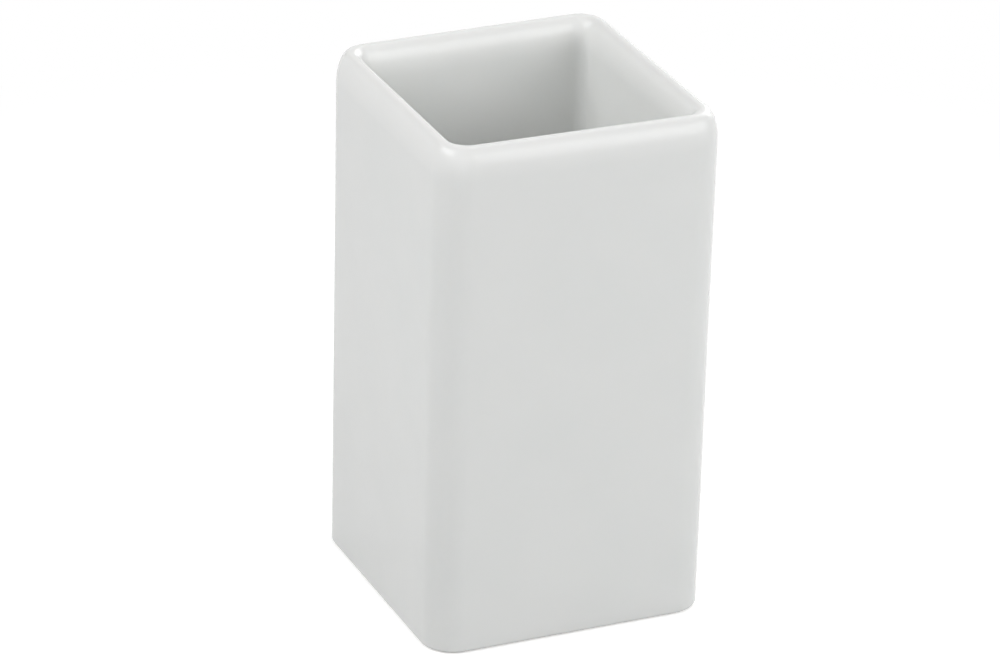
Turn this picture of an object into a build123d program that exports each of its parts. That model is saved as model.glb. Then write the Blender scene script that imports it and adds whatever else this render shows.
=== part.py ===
from build123d import *
from math import hypot
import os

# Square toothpick holder in white porcelain: one fired body with thick straight walls and a soft
# full-round rim, glazed all over but for the foot that it stood on in the kiln.
# Millimetres, +Z up, origin in the middle of the plane that the foot stands on.

# Outside, over the glaze
SIDE = 33.0  # width and depth
HEIGHT = 60.0  # foot to the crown of the rim
CORNER_R = 3.8  # upright outside edges

# Walls, rim and well, over the glaze
WALL = 3.1  # side walls
RIM_RISE = 4.2  # height over which the wall draws in to the crown
RIM_LAND = 0.2  # flat left along the crown between the two quarter ellipses
WELL_R = 2.0  # inside corners, upright and along the floor
FLOOR = 3.5  # floor, from the roof of the underside recess to the well

# Foot, over the glaze
FOOT_WIDTH = 3.5  # from the outside face to the mouth of the recess
FOOT_EDGE_R = 0.5  # outside edge of the standing ring
RECESS_DEPTH = 1.5  # hollow of the underside
RECESS_SLOPE = 1.5  # how far the recess wall leans in from its mouth to its roof
RECESS_CORNER_R = 2.5  # corners of the recess at its mouth

# Glaze
GLAZE = 0.25  # thickness of the fired glaze
GLAZE_LINE = 0.2  # height above the table where the glaze was wiped off the foot

# Worked out from the sizes above
WELL_SIDE = SIDE - 2 * WALL
WELL_FLOOR = RECESS_DEPTH + FLOOR
RIM_DRAW = (WALL - RIM_LAND) / 2  # each face's share of the wall, from face to crown
RIM_SHOULDER = HEIGHT - RIM_RISE
RECESS_SIDE = SIDE - 2 * FOOT_WIDTH

# The body and the glaze share one form. Each profile below is half of an upright section, from the
# axis of a rounded corner out to the face, and skin is how far its clay lies under the glazed surface.


def outer_profile(skin):
    """Outside of the holder: rounded foot edge, straight wall, quarter ellipse to the crown."""
    reach = CORNER_R - skin
    edge_r = FOOT_EDGE_R - skin
    draw = RIM_DRAW - skin
    foot = CenterArc((reach - edge_r, edge_r), edge_r, -90, 90)
    rim = EllipticalCenterArc((reach - draw, RIM_SHOULDER), draw, RIM_RISE - skin, 0, arc_size=90)
    wall = Line(foot @ 1, rim @ 0)
    back = Polyline(rim @ 1, (0, HEIGHT - skin), (0, 0), foot @ 0)
    return Plane.XZ * make_face([foot, wall, rim, back])


def well_profile(skin):
    """Hollow for the picks: swept floor corner, straight wall, mouth opening out to the crown."""
    reach = WELL_R + skin
    draw = RIM_DRAW - skin
    floor = WELL_FLOOR - skin
    corner = CenterArc((0, floor + reach), reach, -90, 90)
    mouth = EllipticalCenterArc((reach + draw, RIM_SHOULDER), draw, RIM_RISE - skin, 180, arc_size=-90)
    wall = Line(corner @ 1, mouth @ 0)
    back = Polyline(mouth @ 1, (0, HEIGHT - skin), (0, floor))
    return Plane.XZ * make_face([corner, wall, mouth, back])


def recess_profile(skin):
    """Hollow of the underside: a wall that leans in from the foot to a flat roof."""
    lean = RECESS_SLOPE / RECESS_DEPTH
    mouth = RECESS_CORNER_R + skin * hypot(1, lean)
    roof = RECESS_DEPTH + skin
    outline = Polyline((0, 0), (mouth, 0), (mouth - lean * roof, roof), (0, roof), close=True)
    return Plane.XZ * make_face(outline)


def profiled_square(profile, half_span):
    """Square block with a profiled edge that runs straight along its sides and turns at its corners.

    half_span is how far the corners' axes lie from the middle.
    """
    box = profile.bounding_box()
    height = box.max.Z - box.min.Z
    middle = (box.max.Z + box.min.Z) / 2
    block = Pos(0, 0, middle) * Box(2 * half_span, 2 * half_span, height)
    straight = Pos(half_span, half_span, 0) * extrude(profile, amount=2 * half_span)
    corner = Pos(half_span, half_span, 0) * revolve(profile, Axis.Z, 90)
    for quarter in range(4):
        block += Rot(0, 0, 90 * quarter) * (straight + corner)
    return block


def holder_form(skin):
    """Whole holder, taken in by skin on every face but the plane that it stands on."""
    outside = profiled_square(outer_profile(skin), SIDE / 2 - CORNER_R)
    well = profiled_square(well_profile(skin), WELL_SIDE / 2 - WELL_R)
    recess = profiled_square(recess_profile(skin), RECESS_SIDE / 2 - RECESS_CORNER_R)
    return outside - well - recess


def porcelain_body():
    """Fired clay under the glaze, bare on its foot."""
    return holder_form(GLAZE)


def glaze_skins(body):
    """Glaze between the finished form and the body: the underside panel, then the coat."""
    bare_zone = extrude(Rectangle(2 * SIDE, 2 * SIDE), amount=GLAZE_LINE)
    skins = holder_form(0) - bare_zone - body
    return skins.solids().sort_by(SortBy.VOLUME)


body = porcelain_body()
base_glaze, glaze_coat = glaze_skins(body)
pieces = {"porcelain_body": body, "glaze_coat": glaze_coat, "base_glaze": base_glaze}

os.makedirs("parts", exist_ok=True)
for name, piece in pieces.items():
    export_step(piece, f"parts/{name}.step")
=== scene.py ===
from math import asin, cos, hypot, pi, radians, sin

import bpy
from bpy.props import FloatProperty, FloatVectorProperty, PointerProperty
from mathutils import Matrix, Vector


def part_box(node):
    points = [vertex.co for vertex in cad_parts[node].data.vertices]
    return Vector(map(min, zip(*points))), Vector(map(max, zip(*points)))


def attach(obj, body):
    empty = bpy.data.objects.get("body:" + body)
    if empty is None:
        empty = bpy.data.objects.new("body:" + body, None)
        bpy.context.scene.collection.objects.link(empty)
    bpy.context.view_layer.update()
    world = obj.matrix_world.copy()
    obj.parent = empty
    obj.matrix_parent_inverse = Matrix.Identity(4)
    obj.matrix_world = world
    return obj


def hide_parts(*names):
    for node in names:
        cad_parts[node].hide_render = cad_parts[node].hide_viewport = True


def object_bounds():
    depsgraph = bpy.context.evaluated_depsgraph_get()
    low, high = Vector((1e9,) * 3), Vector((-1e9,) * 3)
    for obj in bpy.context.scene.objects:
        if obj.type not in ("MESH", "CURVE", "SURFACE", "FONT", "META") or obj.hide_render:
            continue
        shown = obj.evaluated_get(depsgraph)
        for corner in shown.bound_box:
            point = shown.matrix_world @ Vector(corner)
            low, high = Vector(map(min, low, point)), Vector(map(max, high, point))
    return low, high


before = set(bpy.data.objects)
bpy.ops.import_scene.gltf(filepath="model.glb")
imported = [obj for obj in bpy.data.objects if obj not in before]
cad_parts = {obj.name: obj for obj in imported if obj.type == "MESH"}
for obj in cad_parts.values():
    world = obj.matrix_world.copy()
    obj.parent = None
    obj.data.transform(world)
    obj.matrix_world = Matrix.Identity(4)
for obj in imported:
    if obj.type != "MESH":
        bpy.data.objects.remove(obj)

bl_info = {
    "name": "Square porcelain toothpick holder",
    "version": (1, 0, 0),
    "blender": (4, 5, 0),
    "location": "3D View > Sidebar > Holder",
    "description": "Builds a glazed square toothpick holder and the white table that it stands on",
    "category": "Add Mesh",
}

# Metres, +Z up, origin in the middle of the plane that the foot stands on, as in the packed model.
MM = 0.001

# The one body of the packed model, which every piece rides
BODY = "root"

# Sizes that the packed model gives
CAD_LOW, CAD_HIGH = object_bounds()
SIDE = CAD_HIGH.x - CAD_LOW.x
HEIGHT = CAD_HIGH.z - CAD_LOW.z
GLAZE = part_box("glaze_coat")[1].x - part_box("porcelain_body")[1].x
GLAZE_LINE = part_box("glaze_coat")[0].z
RECESS_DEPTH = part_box("base_glaze")[1].z - GLAZE

# Share of the glaze that lies over the clay, kept on every point of a piece for its material
POOL = "glaze_pool"


def linear(hex_colour):
    """Linear RGB of an sRGB colour such as #F0EFEA."""
    parts = [int(hex_colour[i : i + 2], 16) / 255 for i in (1, 3, 5)]
    return tuple(p / 12.92 if p <= 0.04045 else ((p + 0.055) / 1.055) ** 2.4 for p in parts)


class HolderSizes(bpy.types.PropertyGroup):
    """Sizes of the holder, over the glaze."""

    side: FloatProperty(
        name="Side", description="Width and depth outside", default=SIDE, unit="LENGTH"
    )
    height: FloatProperty(
        name="Height", description="Table to the crown of the rim", default=HEIGHT, unit="LENGTH"
    )
    corner_r: FloatProperty(
        name="Corner radius", description="Upright outside edges", default=3.8 * MM, unit="LENGTH"
    )
    wall: FloatProperty(name="Wall", description="Thickness of the sides", default=3.1 * MM, unit="LENGTH")
    rim_rise: FloatProperty(
        name="Rim rise",
        description="Height over which the wall draws in to the crown",
        default=3.6 * MM,
        unit="LENGTH",
    )
    rim_land: FloatProperty(
        name="Rim land", description="Flat left along the crown", default=0.2 * MM, unit="LENGTH"
    )
    mouth_r: FloatProperty(
        name="Mouth radius", description="Inside corners at the crown", default=2.6 * MM, unit="LENGTH"
    )
    well_r: FloatProperty(
        name="Well radius",
        description="Inside corners, upright and along the floor",
        default=1.4 * MM,
        unit="LENGTH",
    )
    floor: FloatProperty(
        name="Floor", description="Recess roof to the floor of the well", default=3.5 * MM, unit="LENGTH"
    )
    foot_width: FloatProperty(
        name="Foot width", description="Outside face to the recess", default=3.5 * MM, unit="LENGTH"
    )
    foot_edge_r: FloatProperty(
        name="Foot edge radius",
        description="Outside edge of the standing ring",
        default=0.5 * MM,
        unit="LENGTH",
    )
    recess_depth: FloatProperty(
        name="Recess depth", description="Hollow of the underside", default=RECESS_DEPTH, unit="LENGTH"
    )
    recess_slope: FloatProperty(
        name="Recess slope", description="How far the recess wall leans in", default=1.5 * MM, unit="LENGTH"
    )
    recess_corner_r: FloatProperty(
        name="Recess corner radius",
        description="Corners of the recess at its mouth",
        default=2.5 * MM,
        unit="LENGTH",
    )
    glaze: FloatProperty(name="Glaze", description="Thickness of the glaze", default=GLAZE, unit="LENGTH")
    glaze_line: FloatProperty(
        name="Glaze line",
        description="Height at which the glaze was wiped off the foot",
        default=GLAZE_LINE,
        unit="LENGTH",
    )


class HolderKiln(bpy.types.PropertyGroup):
    """What drying and firing did to the shape, growing from nothing at the foot to the rim."""

    front_left: FloatVectorProperty(
        name="Front left",
        description="How far this corner of the rim moved",
        default=(0.25 * MM, 0.40 * MM, 0.0),
        subtype="TRANSLATION",
    )
    front_right: FloatVectorProperty(
        name="Front right",
        description="How far this corner of the rim moved",
        default=(0.30 * MM, -0.56 * MM, 0.0),
        subtype="TRANSLATION",
    )
    back_left: FloatVectorProperty(
        name="Back left",
        description="How far this corner of the rim moved",
        default=(-0.09 * MM, 0.14 * MM, 0.0),
        subtype="TRANSLATION",
    )
    back_right: FloatVectorProperty(
        name="Back right",
        description="How far this corner of the rim moved",
        default=(-0.46 * MM, 0.02 * MM, 0.0),
        subtype="TRANSLATION",
    )
    wander: FloatProperty(
        name="Wander", description="How far a wall strays from flat", default=0.06 * MM, unit="LENGTH"
    )
    wander_size: FloatProperty(
        name="Wander size", description="Width of one stray hollow", default=22 * MM, unit="LENGTH"
    )


class HolderFinish(bpy.types.PropertyGroup):
    """Colours and surfaces."""

    glaze_white: FloatVectorProperty(
        name="Glaze white",
        description="White of the clay seen through the glaze",
        subtype="COLOR",
        default=linear("#E8E9E7"),
    )
    glaze_pooled: FloatVectorProperty(
        name="Pooled glaze",
        description="Cooler white where the glaze ran thick",
        subtype="COLOR",
        default=linear("#E1E4E2"),
    )
    glaze_thin: FloatVectorProperty(
        name="Thin glaze",
        description="Warmer white where the glaze drew thin over an edge",
        subtype="COLOR",
        default=linear("#EDEDEB"),
    )
    glaze_roughness: FloatProperty(
        name="Glaze roughness", description="Blur of the gloss", default=0.24, subtype="FACTOR"
    )
    bare_white: FloatVectorProperty(
        name="Bare clay",
        description="Fired clay with no glaze on it",
        subtype="COLOR",
        default=linear("#E6E1D6"),
    )
    bare_scuff: FloatVectorProperty(
        name="Scuffed clay",
        description="Grey that a table rubs into bare clay",
        subtype="COLOR",
        default=linear("#B9B4A9"),
    )


class HolderStage(bpy.types.PropertyGroup):
    """Table, light and camera."""

    azimuth: FloatProperty(
        name="Azimuth", description="Turn of the view", default=radians(-23.851), subtype="ANGLE"
    )
    elevation: FloatProperty(
        name="Elevation", description="Height of the view", default=radians(25.408), subtype="ANGLE"
    )
    roll: FloatProperty(
        name="Roll", description="Tilt of the picture", default=radians(1.41), subtype="ANGLE"
    )
    aim: FloatVectorProperty(
        name="Aim",
        description="Point in the middle of the picture",
        default=(-1.93 * MM, 0.59 * MM, 29.49 * MM),
        subtype="TRANSLATION",
    )
    distance: FloatProperty(
        name="Distance", description="Camera to the aim", default=681.8 * MM, unit="LENGTH"
    )
    lens: FloatProperty(name="Lens", description="Focal length in millimetres", default=221.8)
    tent: FloatProperty(name="Tent", description="Light of the tent's bright band", default=0.645)
    left_power: FloatProperty(name="Left", description="Softbox at the left", default=0.645, unit="POWER")
    right_power: FloatProperty(name="Right", description="Softbox at the right", default=0.545, unit="POWER")
    front_power: FloatProperty(name="Front", description="Low softbox in front", default=0.17, unit="POWER")
    rear_power: FloatProperty(
        name="Rear", description="Softbox behind at the right", default=0.5, unit="POWER"
    )


# Profiles. Each point is (span, radius, height): a square ring whose corners turn on axes span from the
# middle with that radius, at that height. A profile starts and ends on the upright axis, so its piece is
# closed.

# Steps along the curves of the rim and the floor, the edge of the foot, a wall, and the rings of a disc
ARC_STEPS = 18
FOOT_STEPS = 6
WALL_STEPS = 40
DISC_RINGS = 10


def quarter(span, centre_r, centre_z, draw, rise, start, end, steps):
    """Points along an ellipse from one angle to another, both included."""
    angles = [start + (end - start) * i / steps for i in range(steps + 1)]
    return [(span, centre_r + draw * cos(a), centre_z + rise * sin(a)) for a in angles]


def upright(span, radius, start, end, steps):
    """Points up or down a straight wall from one height to another, without its ends."""
    return [(span, radius, start + (end - start) * i / steps) for i in range(1, steps)]


def disc(span, radius, height):
    """Rings from a pole out to a rounded square, round at first and square at the edge."""
    rings = [(0.0, 0.0, height)]
    for i in range(1, DISC_RINGS + 1):
        share = i / DISC_RINGS
        half = (span + radius) * share
        corner = radius * share + half * (1 - share)
        rings.append((half - corner, corner, height))
    return rings


def outside_profile(s, skin, start):
    """From height start on the foot's edge up the outside to the crown."""
    span = s.side / 2 - s.corner_r
    reach = s.corner_r - skin
    edge_r = s.foot_edge_r - skin
    draw = (s.wall - s.rim_land) / 2 - skin
    shoulder = s.height - s.rim_rise
    begin = asin(max(-1.0, (start - edge_r) / edge_r))
    foot = quarter(span, reach - edge_r, edge_r, edge_r, edge_r, begin, 0.0, FOOT_STEPS)
    wall = upright(span, reach, edge_r, shoulder, WALL_STEPS)
    rim = quarter(span, reach - draw, shoulder, draw, s.rim_rise - skin, 0.0, pi / 2, ARC_STEPS)
    return foot + wall + rim


def well_profile(s, skin):
    """From the crown down the inside to the middle of the floor, the corners tightening from the mouth."""
    span = s.side / 2 - s.wall - s.well_r
    reach = s.well_r + skin
    draw = (s.wall - s.rim_land) / 2 - skin
    shoulder = s.height - s.rim_rise
    floor = s.recess_depth + s.floor - skin
    mouth = []
    for i in range(ARC_STEPS + 1):
        angle = pi / 2 * (1 - i / ARC_STEPS)
        radius = reach + (s.mouth_r - reach) * (1 - cos(angle))
        half = span + reach + draw * (1 - cos(angle))
        mouth.append((half - radius, radius, shoulder + (s.rim_rise - skin) * sin(angle)))
    wall = upright(span, reach, shoulder, floor + reach, WALL_STEPS)
    sweep = quarter(span, 0.0, floor + reach, reach, -reach, 0.0, pi / 2, ARC_STEPS)
    return mouth + wall + sweep + disc(span, 0.0, floor)[-2::-1]


def recess_profile(s, skin, end):
    """From the middle of the recess roof out and down its leaning wall to height end."""
    span = s.side / 2 - s.foot_width - s.recess_corner_r
    lean = s.recess_slope / s.recess_depth
    mouth = s.recess_corner_r + skin * hypot(1, lean)
    roof = s.recess_depth + skin
    return disc(span, mouth - lean * roof, roof) + [(span, mouth - lean * end, end)]


# How far up the well the glaze pooled from the floor, in well radii
POOL_RISE = 4


def glaze_pool(s, point):
    """How thick the glaze ran at a point, from 0 on the crown to 1 on the floor and the underside."""
    span, _, height = point
    floor = s.recess_depth + s.floor
    outside = span >= s.side / 2 - s.corner_r
    low = 0.0 if outside else max(0.0, 1 - (height - floor) / (POOL_RISE * s.well_r))
    high = max(0.0, (height - s.height + s.rim_rise) / s.rim_rise)
    return min(1.0, max(0.0, (1 + low - high) / 2))


def add_node(tree, kind, values=None, **settings):
    """Adds a node with its settings, and fills its inputs with values or links from other nodes.

    A Mix node has inputs of its own for each kind of value, which share their names, so these go by number:
    2 and 3 for a float, 4 and 5 for a vector, 6 and 7 for a colour. Its outputs are 0, 1 and 2.
    """
    node = tree.nodes.new(kind)
    for name, value in settings.items():
        setattr(node, name, value)
    for key, value in (values or {}).items():
        if isinstance(value, bpy.types.NodeSocket):
            tree.links.new(value, node.inputs[key])
        else:
            node.inputs[key].default_value = value
    return node


LOFT_INPUTS = (
    ("Profile", "NodeSocketGeometry"),
    ("Corner points", "NodeSocketInt"),
    ("Side points", "NodeSocketInt"),
    ("Side", "NodeSocketFloat"),
    ("Height", "NodeSocketFloat"),
    ("Front left", "NodeSocketVector"),
    ("Front right", "NodeSocketVector"),
    ("Back left", "NodeSocketVector"),
    ("Back right", "NodeSocketVector"),
    ("Wander", "NodeSocketFloat"),
    ("Wander size", "NodeSocketFloat"),
    ("Material", "NodeSocketMaterial"),
)

# Edges that turn further than this stay sharp
SHARP_ANGLE = radians(38)

# Points nearer than this become one, which closes the seam and the poles
WELD = 0.0005 * MM


def square_loft():
    """Geometry Nodes tree that carries a profile round a square with rounded corners, then fires it."""
    tree = bpy.data.node_groups.new("square_loft", "GeometryNodeTree")
    for name, kind in LOFT_INPUTS:
        tree.interface.new_socket(name=name, in_out="INPUT", socket_type=kind)
    tree.interface.new_socket(name="Piece", in_out="OUTPUT", socket_type="NodeSocketGeometry")
    given = add_node(tree, "NodeGroupInput").outputs

    # A flat grid, one row for each point of the profile and one column for each step round
    rows = add_node(tree, "GeometryNodeAttributeDomainSize", {0: given["Profile"]}, component="MESH")
    rows = rows.outputs["Point Count"]
    turn = add_node(tree, "ShaderNodeMath", {0: given["Corner points"], 1: given["Side points"]}).outputs[0]
    columns = add_node(tree, "ShaderNodeMath", {0: turn, 1: 4.0, 2: 1.0}, operation="MULTIPLY_ADD")
    grid = add_node(tree, "GeometryNodeMeshGrid", {"Vertices X": columns.outputs[0], "Vertices Y": rows})
    index = add_node(tree, "GeometryNodeInputIndex").outputs[0]
    row = add_node(tree, "ShaderNodeMath", {0: index, 1: rows}, operation="MODULO").outputs[0]
    column = add_node(tree, "ShaderNodeMath", {0: index, 1: rows}, operation="DIVIDE").outputs[0]
    column = add_node(tree, "ShaderNodeMath", {0: column}, operation="FLOOR").outputs[0]
    step = add_node(tree, "ShaderNodeMath", {0: column, 1: turn}, operation="MODULO").outputs[0]
    fourth = add_node(tree, "ShaderNodeMath", {0: column, 1: turn}, operation="DIVIDE").outputs[0]
    fourth = add_node(tree, "ShaderNodeMath", {0: fourth}, operation="FLOOR").outputs[0]

    # Each step's place on its quarter: first round the corner, then along the side
    bend = add_node(
        tree, "ShaderNodeMath", {0: step, 1: given["Corner points"]}, operation="DIVIDE", use_clamp=True
    )
    angle = add_node(tree, "ShaderNodeMath", {0: bend.outputs[0], 1: pi / 2}, operation="MULTIPLY").outputs[0]
    run = add_node(tree, "ShaderNodeMath", {0: step, 1: given["Corner points"]}, operation="SUBTRACT")
    along = add_node(
        tree,
        "ShaderNodeMath",
        {0: run.outputs[0], 1: given["Side points"]},
        operation="DIVIDE",
        use_clamp=True,
    )
    across = add_node(
        tree, "ShaderNodeMath", {0: along.outputs[0], 1: -2.0, 2: 1.0}, operation="MULTIPLY_ADD"
    )
    place = add_node(tree, "GeometryNodeInputPosition").outputs[0]
    point = add_node(
        tree,
        "GeometryNodeSampleIndex",
        {"Geometry": given["Profile"], "Value": place, "Index": row},
        data_type="FLOAT_VECTOR",
    )
    ring = add_node(tree, "ShaderNodeSeparateXYZ", {0: point.outputs[0]}).outputs
    east = add_node(tree, "ShaderNodeMath", {0: angle}, operation="COSINE").outputs[0]
    east = add_node(tree, "ShaderNodeMath", {0: east, 1: ring["Y"]}, operation="MULTIPLY").outputs[0]
    east = add_node(
        tree, "ShaderNodeMath", {0: ring["X"], 1: across.outputs[0], 2: east}, operation="MULTIPLY_ADD"
    )
    north = add_node(tree, "ShaderNodeMath", {0: angle}, operation="SINE").outputs[0]
    north = add_node(
        tree, "ShaderNodeMath", {0: north, 1: ring["Y"], 2: ring["X"]}, operation="MULTIPLY_ADD"
    )
    spot = add_node(
        tree, "ShaderNodeCombineXYZ", {"X": east.outputs[0], "Y": north.outputs[0], "Z": ring["Z"]}
    )
    quarter_turn = add_node(tree, "ShaderNodeMath", {0: fourth, 1: pi / 2}, operation="MULTIPLY")
    spot = add_node(
        tree,
        "ShaderNodeVectorRotate",
        {"Vector": spot.outputs[0], "Angle": quarter_turn.outputs[0]},
        rotation_type="Z_AXIS",
    )
    pool = add_node(tree, "GeometryNodeInputNamedAttribute", {"Name": POOL}, data_type="FLOAT")
    pool = add_node(
        tree,
        "GeometryNodeSampleIndex",
        {"Geometry": given["Profile"], "Value": pool.outputs[0], "Index": row},
        data_type="FLOAT",
    )
    skin = add_node(
        tree,
        "GeometryNodeStoreNamedAttribute",
        {"Geometry": grid.outputs["Mesh"], "Name": POOL, "Value": pool.outputs[0]},
        data_type="FLOAT",
        domain="POINT",
    )
    skin = add_node(
        tree, "GeometryNodeSetPosition", {"Geometry": skin.outputs[0], "Position": spot.outputs[0]}
    )
    skin = add_node(tree, "GeometryNodeMergeByDistance", {"Geometry": skin.outputs[0], "Distance": WELD})

    # Drying and firing: each corner of the rim strays its own way, and the walls wander from flat
    xyz = add_node(tree, "ShaderNodeSeparateXYZ", {0: place}).outputs
    share = add_node(tree, "ShaderNodeMath", {0: xyz["Z"], 1: given["Height"]}, operation="DIVIDE")
    right = add_node(tree, "ShaderNodeMath", {0: xyz["X"], 1: given["Side"]}, operation="DIVIDE")
    right = add_node(tree, "ShaderNodeMath", {0: right.outputs[0], 1: 0.5})
    behind = add_node(tree, "ShaderNodeMath", {0: xyz["Y"], 1: given["Side"]}, operation="DIVIDE")
    behind = add_node(tree, "ShaderNodeMath", {0: behind.outputs[0], 1: 0.5})
    front = add_node(
        tree,
        "ShaderNodeMix",
        {0: right.outputs[0], 4: given["Front left"], 5: given["Front right"]},
        data_type="VECTOR",
    )
    back = add_node(
        tree,
        "ShaderNodeMix",
        {0: right.outputs[0], 4: given["Back left"], 5: given["Back right"]},
        data_type="VECTOR",
    )
    pull = add_node(
        tree,
        "ShaderNodeMix",
        {0: behind.outputs[0], 4: front.outputs[1], 5: back.outputs[1]},
        data_type="VECTOR",
    )
    scale = add_node(tree, "ShaderNodeMath", {0: 1.0, 1: given["Wander size"]}, operation="DIVIDE")
    stray = add_node(tree, "ShaderNodeTexNoise", {"Vector": place, "Scale": scale.outputs[0], "Detail": 0.0})
    stray = add_node(
        tree, "ShaderNodeVectorMath", {0: stray.outputs["Color"], 1: (0.5, 0.5, 0.5)}, operation="SUBTRACT"
    )
    stray = add_node(
        tree,
        "ShaderNodeVectorMath",
        {0: stray.outputs[0], "Scale": given["Wander"]},
        operation="SCALE",
    )
    move = add_node(tree, "ShaderNodeVectorMath", {0: pull.outputs[1], 1: stray.outputs[0]})
    move = add_node(
        tree, "ShaderNodeVectorMath", {0: move.outputs[0], "Scale": share.outputs[0]}, operation="SCALE"
    )
    skin = add_node(tree, "GeometryNodeSetPosition", {"Geometry": skin.outputs[0], "Offset": move.outputs[0]})

    # Smooth all over, but for the edges that turn sharply
    edge = add_node(tree, "GeometryNodeInputMeshEdgeAngle").outputs["Unsigned Angle"]
    sharp = add_node(tree, "FunctionNodeCompare", {0: edge, 1: SHARP_ANGLE}, operation="GREATER_THAN")
    skin = add_node(
        tree, "GeometryNodeSetShadeSmooth", {0: skin.outputs[0], "Shade Smooth": True}, domain="FACE"
    )
    skin = add_node(
        tree,
        "GeometryNodeSetShadeSmooth",
        {0: skin.outputs[0], "Selection": sharp.outputs[0], "Shade Smooth": False},
        domain="EDGE",
    )
    skin = add_node(tree, "GeometryNodeRealizeInstances", {0: skin.outputs[0]})
    skin = add_node(tree, "GeometryNodeSetMaterial", {0: skin.outputs[0], "Material": given["Material"]})
    add_node(tree, "NodeGroupOutput", {0: skin.outputs[0]})
    return tree


# Steps round each corner and along each side of a ring
CORNER_POINTS = 16
SIDE_POINTS = 20


def fired_piece(name, profile, material, context):
    """Lofts a profile into a closed piece with its own plain mesh."""
    sizes = context.scene.holder_sizes
    kiln = context.scene.holder_kiln
    mesh = bpy.data.meshes.new(name + "_profile")
    mesh.from_pydata(profile, [(i, i + 1) for i in range(len(profile) - 1)], [])
    pool = mesh.attributes.new(POOL, "FLOAT", "POINT")
    pool.data.foreach_set("value", [glaze_pool(sizes, point) for point in profile])
    piece = bpy.data.objects.new(name, mesh)
    context.scene.collection.objects.link(piece)

    tree = bpy.data.node_groups.get("square_loft") or square_loft()
    loft = piece.modifiers.new("square_loft", "NODES")
    loft.node_group = tree
    sockets = {item.name: item.identifier for item in tree.interface.items_tree}
    values = {
        "Corner points": CORNER_POINTS,
        "Side points": SIDE_POINTS,
        "Side": sizes.side,
        "Height": sizes.height,
        "Front left": tuple(kiln.front_left),
        "Front right": tuple(kiln.front_right),
        "Back left": tuple(kiln.back_left),
        "Back right": tuple(kiln.back_right),
        "Wander": kiln.wander,
        "Wander size": kiln.wander_size,
        "Material": material,
    }
    for key, value in values.items():
        loft[sockets[key]] = value
    piece.update_tag()
    seen = piece.evaluated_get(context.evaluated_depsgraph_get())
    made = bpy.data.meshes.new_from_object(seen)
    if not made.polygons:
        raise RuntimeError(f"{name}: the loft made no faces")
    piece.modifiers.remove(loft)
    piece.data = made
    made.name = name
    bpy.data.meshes.remove(mesh)
    return piece


def new_material(name):
    """An empty node material, with its output node."""
    material = bpy.data.materials.new(name)
    material.use_nodes = True
    material.node_tree.nodes.clear()
    return material, add_node(material.node_tree, "ShaderNodeOutputMaterial")


# Most of a noise texture's values lie between these
NOISE_RANGE = (0.3, 0.7)

# Glaze: typical refraction, its shine, and how much the gloss varies
GLAZE_IOR = 1.5
GLAZE_GLOSS = 0.4
GLOSS_SPREAD = 0.03

# Clouds of thicker and thinner glaze and how much they count beside the pooling, patches of softer gloss,
# and the ripple left as the glaze flowed out
CLOUD_SIZE = 12 * MM
CLOUD_SHARE = 0.5
PATCH_SIZE = 4 * MM
RIPPLE_SIZE = 3 * MM
RIPPLE_DEPTH = 0.02 * MM

# Light that spreads under the glaze: its share, how far it gets, and that red gets furthest
SPREAD_SHARE = 0.15
SPREAD_REACH = 1.2 * MM
SPREAD_TINT = (1.0, 0.9, 0.8)


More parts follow.
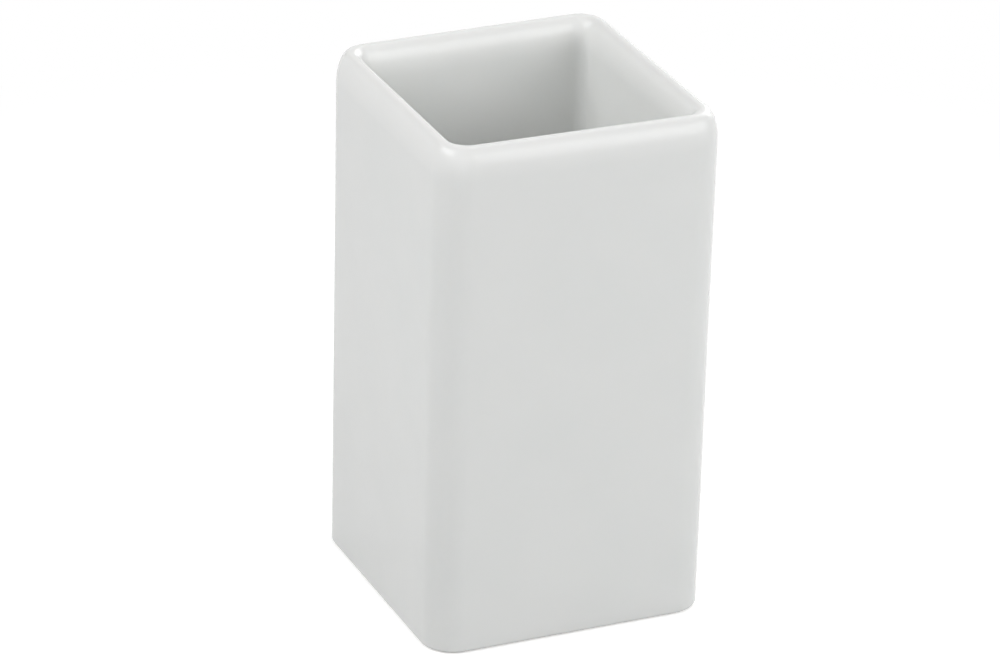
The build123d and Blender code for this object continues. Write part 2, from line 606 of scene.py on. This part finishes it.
def glazed_porcelain(finish):
    """White porcelain dipped in clear glaze and fired to a soft gloss.

    The eye sees a soft milky white, a little cooler where the glaze ran thick and warmer where it drew
    thin on the rim, under a blurred shine that is never quite even.
    """
    name = "white porcelain, dipped and fired clear glaze"
    if name in bpy.data.materials:
        return bpy.data.materials[name]
    material, output = new_material(name)
    tree = material.node_tree
    place = add_node(tree, "ShaderNodeTexCoord").outputs["Object"]

    # The glaze is deepest where it pooled, and its clouds make it a little deeper or thinner
    cloud = add_node(tree, "ShaderNodeTexNoise", {"Vector": place, "Scale": 1 / CLOUD_SIZE, "Detail": 2.0})
    pool = add_node(tree, "ShaderNodeAttribute", attribute_name=POOL).outputs["Fac"]
    depth = add_node(
        tree, "ShaderNodeMath", {0: cloud.outputs["Fac"], 1: CLOUD_SHARE, 2: pool}, operation="MULTIPLY_ADD"
    )
    depth = add_node(tree, "ShaderNodeMath", {0: depth.outputs[0], 1: CLOUD_SHARE / 2}, operation="SUBTRACT")
    white = add_node(tree, "ShaderNodeValToRGB", {0: depth.outputs[0]})
    ramp = white.color_ramp
    ramp.elements[0].color = (*finish.glaze_thin, 1.0)
    ramp.elements[1].color = (*finish.glaze_pooled, 1.0)
    ramp.elements.new(0.5).color = (*finish.glaze_white, 1.0)

    # Gloss that is a touch softer in patches
    patch = add_node(tree, "ShaderNodeTexNoise", {"Vector": place, "Scale": 1 / PATCH_SIZE, "Detail": 3.0})
    gloss = add_node(
        tree,
        "ShaderNodeMapRange",
        {
            "Value": patch.outputs["Fac"],
            "From Min": NOISE_RANGE[0],
            "From Max": NOISE_RANGE[1],
            "To Min": finish.glaze_roughness - GLOSS_SPREAD,
            "To Max": finish.glaze_roughness + GLOSS_SPREAD,
        },
    )

    # Ripple that keeps the shine from lying quite even
    ripple = add_node(tree, "ShaderNodeTexNoise", {"Vector": place, "Scale": 1 / RIPPLE_SIZE, "Detail": 1.0})
    bump = add_node(
        tree,
        "ShaderNodeBump",
        {"Strength": 0.6, "Distance": RIPPLE_DEPTH, "Height": ripple.outputs["Fac"]},
    )
    glaze = add_node(
        tree,
        "ShaderNodeBsdfPrincipled",
        {
            "Base Color": white.outputs["Color"],
            "Roughness": gloss.outputs[0],
            "IOR": GLAZE_IOR,
            "Specular IOR Level": GLAZE_GLOSS,
            "Normal": bump.outputs[0],
            "Subsurface Weight": SPREAD_SHARE,
            "Subsurface Radius": SPREAD_TINT,
            "Subsurface Scale": SPREAD_REACH,
        },
    )
    tree.links.new(glaze.outputs[0], output.inputs["Surface"])
    return material


# Bare clay: typical refraction, and roughness from the hollows of its grain to the crests
CLAY_IOR = 1.53
CLAY_ROUGHNESS = (0.62, 0.85)

# Drifts of scuffs, the grain that breaks them up, and the range of their product over which a scuff sets in.
# Real grain is finer than this, and is drawn coarse enough to show.
DRIFT_SIZE = 5 * MM
GRAIN_SIZE = 0.4 * MM
GRAIN_DEPTH = 0.04 * MM
SCUFF_RANGE = (0.25, 0.42)


def bare_porcelain(finish):
    """Fired porcelain with no glaze, wiped clean at the foot.

    The eye sees a warm matt white with a fine sugary grain, and grey where it has stood on tables.
    """
    material, output = new_material("bare fired porcelain, wiped foot")
    tree = material.node_tree
    place = add_node(tree, "ShaderNodeTexCoord").outputs["Object"]

    # Scuffs in drifts, broken up by the grain
    drift = add_node(tree, "ShaderNodeTexNoise", {"Vector": place, "Scale": 1 / DRIFT_SIZE, "Detail": 4.0})
    grain = add_node(tree, "ShaderNodeTexNoise", {"Vector": place, "Scale": 1 / GRAIN_SIZE, "Detail": 2.0})
    rubbed = add_node(
        tree, "ShaderNodeMath", {0: drift.outputs["Fac"], 1: grain.outputs["Fac"]}, operation="MULTIPLY"
    )
    scuff = add_node(
        tree,
        "ShaderNodeMapRange",
        {"Value": rubbed.outputs[0], "From Min": SCUFF_RANGE[0], "From Max": SCUFF_RANGE[1]},
    )
    clay = add_node(
        tree,
        "ShaderNodeMix",
        {"Factor": scuff.outputs[0], 6: (*finish.bare_white, 1.0), 7: (*finish.bare_scuff, 1.0)},
        data_type="RGBA",
    )
    rough = add_node(
        tree,
        "ShaderNodeMapRange",
        {"Value": grain.outputs["Fac"], "To Min": CLAY_ROUGHNESS[0], "To Max": CLAY_ROUGHNESS[1]},
    )
    bump = add_node(
        tree,
        "ShaderNodeBump",
        {"Strength": 0.5, "Distance": GRAIN_DEPTH, "Height": grain.outputs["Fac"]},
    )
    body = add_node(
        tree,
        "ShaderNodeBsdfPrincipled",
        {
            "Base Color": clay.outputs[2],
            "Roughness": rough.outputs[0],
            "IOR": CLAY_IOR,
            "Normal": bump.outputs[0],
        },
    )
    tree.links.new(body.outputs[0], output.inputs["Surface"])
    return material


class HOLDER_OT_porcelain_body(bpy.types.Operator):
    """Fired clay: walls, floor and the bare foot ring"""

    bl_idname = "holder.porcelain_body"
    bl_label = "Porcelain body"

    def execute(self, context):
        s = context.scene.holder_sizes
        recess = recess_profile(s, s.glaze, 0.0)
        outside = outside_profile(s, s.glaze, 0.0)
        profile = recess + outside + well_profile(s, s.glaze)
        clay = bare_porcelain(context.scene.holder_finish)
        body = fired_piece("porcelain", profile, clay, context)
        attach(body, BODY)
        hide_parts("porcelain_body")
        return {"FINISHED"}


class HOLDER_OT_glaze_coat(bpy.types.Operator):
    """Glaze over the outside, the rim and the well, ending just above the foot"""

    bl_idname = "holder.glaze_coat"
    bl_label = "Glaze coat"

    def execute(self, context):
        s = context.scene.holder_sizes
        back = outside_profile(s, s.glaze, s.glaze_line) + well_profile(s, s.glaze)
        face = outside_profile(s, 0.0, s.glaze_line) + well_profile(s, 0.0)
        glaze = glazed_porcelain(context.scene.holder_finish)
        coat = fired_piece("glaze", back[::-1] + face, glaze, context)
        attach(coat, BODY)
        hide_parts("glaze_coat")
        return {"FINISHED"}


class HOLDER_OT_base_glaze(bpy.types.Operator):
    """Glaze in the recess of the underside, inside the bare foot ring"""

    bl_idname = "holder.base_glaze"
    bl_label = "Base glaze"

    def execute(self, context):
        s = context.scene.holder_sizes
        back = recess_profile(s, s.glaze, s.glaze_line)
        face = recess_profile(s, 0.0, s.glaze_line)
        glaze = glazed_porcelain(context.scene.holder_finish)
        panel = fired_piece("underside", face + back[::-1], glaze, context)
        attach(panel, BODY)
        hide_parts("base_glaze")
        return {"FINISHED"}


# Table: how far out it goes, how far in under the foot, and the steps round each corner of its opening
TABLE_REACH = 3.0
TABLE_LAP = 0.05 * MM
TABLE_STEPS = 16

# Paper on the table: what the camera sees near the holder, the glow that lifts it to white, the distances
# over which it turns to plain white, and the grey by which it throws light back on the holder
PAPER = "#E6E6E6"
PAPER_GLOW = 0.42
SHADOW_REACH = (70 * MM, 150 * MM)
BOUNCE = "#BEBEBE"

WHITE = (1.0, 1.0, 1.0, 1.0)

# The tent's band of light, by the sine of its elevation: brightest about 38 degrees up
BAND_MIDDLE = 0.62
BAND_REACH = 0.32

# Light from below, from everything that lies lower than this sine of the elevation. The table keeps it
# from all but the underside.
UNDER_LIGHT = 0.75
UNDER_EDGE = -0.1


def round_table(s):
    """Flat table with an opening under the foot, through which light reaches the underside."""
    span = s.side / 2 - s.corner_r
    radius = s.corner_r - s.foot_edge_r - TABLE_LAP
    opening = []
    for fourth in range(4):
        turn = Matrix.Rotation(fourth * pi / 2, 3, "Z")
        for step in range(TABLE_STEPS + 1):
            angle = pi / 2 * step / TABLE_STEPS
            corner = Vector((span + radius * cos(angle), span + radius * sin(angle), 0.0))
            opening.append(turn @ corner)
    edge = [point.normalized() * TABLE_REACH for point in opening]
    count = len(opening)
    faces = []
    for i in range(count):
        after = (i + 1) % count
        faces.append((i, count + i, count + after, after))
    mesh = bpy.data.meshes.new("table")
    mesh.from_pydata(opening + edge, [], faces)
    return bpy.data.objects.new("table", mesh)


def background_ray(tree):
    """1 for the rays that show the white background: straight, in the gloss or through something clear."""
    ray = add_node(tree, "ShaderNodeLightPath").outputs
    seen = ray["Is Camera Ray"]
    for kind in ("Is Glossy Ray", "Is Transmission Ray"):
        seen = add_node(tree, "ShaderNodeMath", {0: seen, 1: ray[kind]}, operation="MAXIMUM").outputs[0]
    return seen


def white_paper():
    """Matt pale paper that the camera sees as white, grey only where the holder shades it."""
    material, output = new_material("white background paper, matt")
    tree = material.node_tree
    place = add_node(tree, "ShaderNodeTexCoord").outputs["Object"]
    far = add_node(tree, "ShaderNodeVectorMath", {0: place}, operation="LENGTH")
    far = add_node(
        tree,
        "ShaderNodeMapRange",
        {"Value": far.outputs["Value"], "From Min": SHADOW_REACH[0], "From Max": SHADOW_REACH[1]},
        interpolation_type="SMOOTHSTEP",
    )
    paper = add_node(tree, "ShaderNodeBsdfDiffuse", {"Color": (*linear(PAPER), 1.0)})
    glow = add_node(tree, "ShaderNodeEmission", {"Color": WHITE, "Strength": PAPER_GLOW})
    near = add_node(tree, "ShaderNodeAddShader", {0: paper.outputs[0], 1: glow.outputs[0]})
    white = add_node(tree, "ShaderNodeEmission", {"Color": WHITE, "Strength": 1.0})
    shown = add_node(
        tree, "ShaderNodeMixShader", {0: far.outputs[0], 1: near.outputs[0], 2: white.outputs[0]}
    )
    dull = add_node(tree, "ShaderNodeBsdfDiffuse", {"Color": (*linear(BOUNCE), 1.0)})
    top = add_node(
        tree, "ShaderNodeMixShader", {0: background_ray(tree), 1: dull.outputs[0], 2: shown.outputs[0]}
    )

    # Nothing from underneath, so that the foot can be looked at from below
    clear = add_node(tree, "ShaderNodeBsdfTransparent")
    side = add_node(tree, "ShaderNodeNewGeometry").outputs["Backfacing"]
    both = add_node(tree, "ShaderNodeMixShader", {0: side, 1: top.outputs[0], 2: clear.outputs[0]})
    tree.links.new(both.outputs[0], output.inputs["Surface"])
    return material


def white_tent(strength):
    """World of soft light from a band round the tent and from below.

    The camera and the gloss see it as plain white.
    """
    world = bpy.data.worlds.new("white tent")
    world.use_nodes = True
    tree = world.node_tree
    tree.nodes.clear()
    way = add_node(tree, "ShaderNodeTexCoord").outputs["Generated"]
    way = add_node(tree, "ShaderNodeSeparateXYZ", {0: way}).outputs
    off = add_node(tree, "ShaderNodeMath", {0: way["Z"], 1: BAND_MIDDLE}, operation="SUBTRACT")
    off = add_node(tree, "ShaderNodeMath", {0: off.outputs[0]}, operation="ABSOLUTE")
    light = add_node(
        tree,
        "ShaderNodeMapRange",
        {"Value": off.outputs[0], "From Max": BAND_REACH, "To Min": strength, "To Max": 0.0},
        interpolation_type="SMOOTHSTEP",
    )
    under = add_node(tree, "ShaderNodeMath", {0: way["Z"], 1: UNDER_EDGE}, operation="LESS_THAN")
    light = add_node(
        tree,
        "ShaderNodeMath",
        {0: under.outputs[0], 1: UNDER_LIGHT, 2: light.outputs[0]},
        operation="MULTIPLY_ADD",
    )
    level = add_node(tree, "ShaderNodeMix", {0: background_ray(tree), 2: light.outputs[0], 3: 1.0})
    sky = add_node(tree, "ShaderNodeBackground", {"Color": WHITE, "Strength": level.outputs[0]})
    add_node(tree, "ShaderNodeOutputWorld", {"Surface": sky.outputs[0]})
    return world


def direction(azimuth, elevation):
    """Unit vector from the holder towards a place seen at that azimuth and elevation."""
    return Vector((sin(azimuth) * cos(elevation), -cos(azimuth) * cos(elevation), sin(elevation)))


# Softboxes: azimuth and elevation in degrees, then width and height. All stand at one distance from the
# middle of the holder.
SOFTBOXES = {
    "left": (-90, 42, 0.28, 0.18),
    "right": (38, 24, 0.28, 0.18),
    "front": (-28, 16, 0.28, 0.18),
    "rear": (123, 28, 0.24, 0.18),
}
BOX_DISTANCE = 0.33


def softbox(context, side):
    """Wide lamp on one side, which faces the middle of the holder."""
    azimuth, elevation, width, height = SOFTBOXES[side]
    name = side + " softbox"
    lamp = bpy.data.lights.new(name, "AREA")
    lamp.shape = "RECTANGLE"
    lamp.size = width
    lamp.size_y = height
    lamp.energy = getattr(context.scene.holder_stage, side + "_power")
    out = direction(radians(azimuth), radians(elevation))
    box = bpy.data.objects.new(name, lamp)
    box.location = Vector((0, 0, context.scene.holder_sizes.height / 2)) + out * BOX_DISTANCE
    box.rotation_euler = out.to_track_quat("Z", "Y").to_euler()
    context.scene.collection.objects.link(box)


class HOLDER_OT_stage(bpy.types.Operator):
    """White table, soft light and the camera"""

    bl_idname = "holder.stage"
    bl_label = "Table, light and camera"

    def execute(self, context):
        scene = context.scene
        stage = scene.holder_stage
        table = round_table(scene.holder_sizes)
        table.data.materials.append(white_paper())
        scene.collection.objects.link(table)

        scene.world = white_tent(stage.tent)
        for side in SOFTBOXES:
            softbox(context, side)

        back = direction(stage.azimuth, stage.elevation)
        right = Matrix.Rotation(stage.roll, 3, back) @ Vector((cos(stage.azimuth), sin(stage.azimuth), 0))
        up = back.cross(right)
        lens = bpy.data.cameras.new("camera")
        lens.lens = stage.lens
        camera = bpy.data.objects.new("camera", lens)
        turn = Matrix((right, up, back)).transposed().to_4x4()
        camera.matrix_world = Matrix.Translation(Vector(stage.aim) + back * stage.distance) @ turn
        scene.collection.objects.link(camera)
        scene.camera = camera
        scene.view_settings.view_transform = "Standard"
        return {"FINISHED"}


class HOLDER_PT_sidebar(bpy.types.Panel):
    """Sizes, finishes and build buttons of the toothpick holder"""

    bl_idname = "HOLDER_PT_sidebar"
    bl_label = "Toothpick holder"
    bl_space_type = "VIEW_3D"
    bl_region_type = "UI"
    bl_category = "Holder"

    def draw(self, context):
        for name, settings in SETTINGS.items():
            group = getattr(context.scene, name)
            box = self.layout.box()
            box.label(text=settings.__doc__)
            for key in settings.__annotations__:
                box.prop(group, key)
        for operator in OPERATORS:
            self.layout.operator(operator.bl_idname)


SETTINGS = {
    "holder_sizes": HolderSizes,
    "holder_kiln": HolderKiln,
    "holder_finish": HolderFinish,
    "holder_stage": HolderStage,
}
OPERATORS = (HOLDER_OT_porcelain_body, HOLDER_OT_glaze_coat, HOLDER_OT_base_glaze, HOLDER_OT_stage)


def register():
    for settings in SETTINGS.values():
        bpy.utils.register_class(settings)
    for name, settings in SETTINGS.items():
        setattr(bpy.types.Scene, name, PointerProperty(type=settings))
    for operator in OPERATORS:
        bpy.utils.register_class(operator)
    bpy.utils.register_class(HOLDER_PT_sidebar)


def unregister():
    bpy.utils.unregister_class(HOLDER_PT_sidebar)
    for operator in reversed(OPERATORS):
        bpy.utils.unregister_class(operator)
    for name, settings in SETTINGS.items():
        delattr(bpy.types.Scene, name)
        bpy.utils.unregister_class(settings)


def main():
    register()
    bpy.ops.holder.porcelain_body()
    bpy.ops.holder.glaze_coat()
    bpy.ops.holder.base_glaze()
    bpy.ops.holder.stage()


if __name__ == "__main__":
    main()
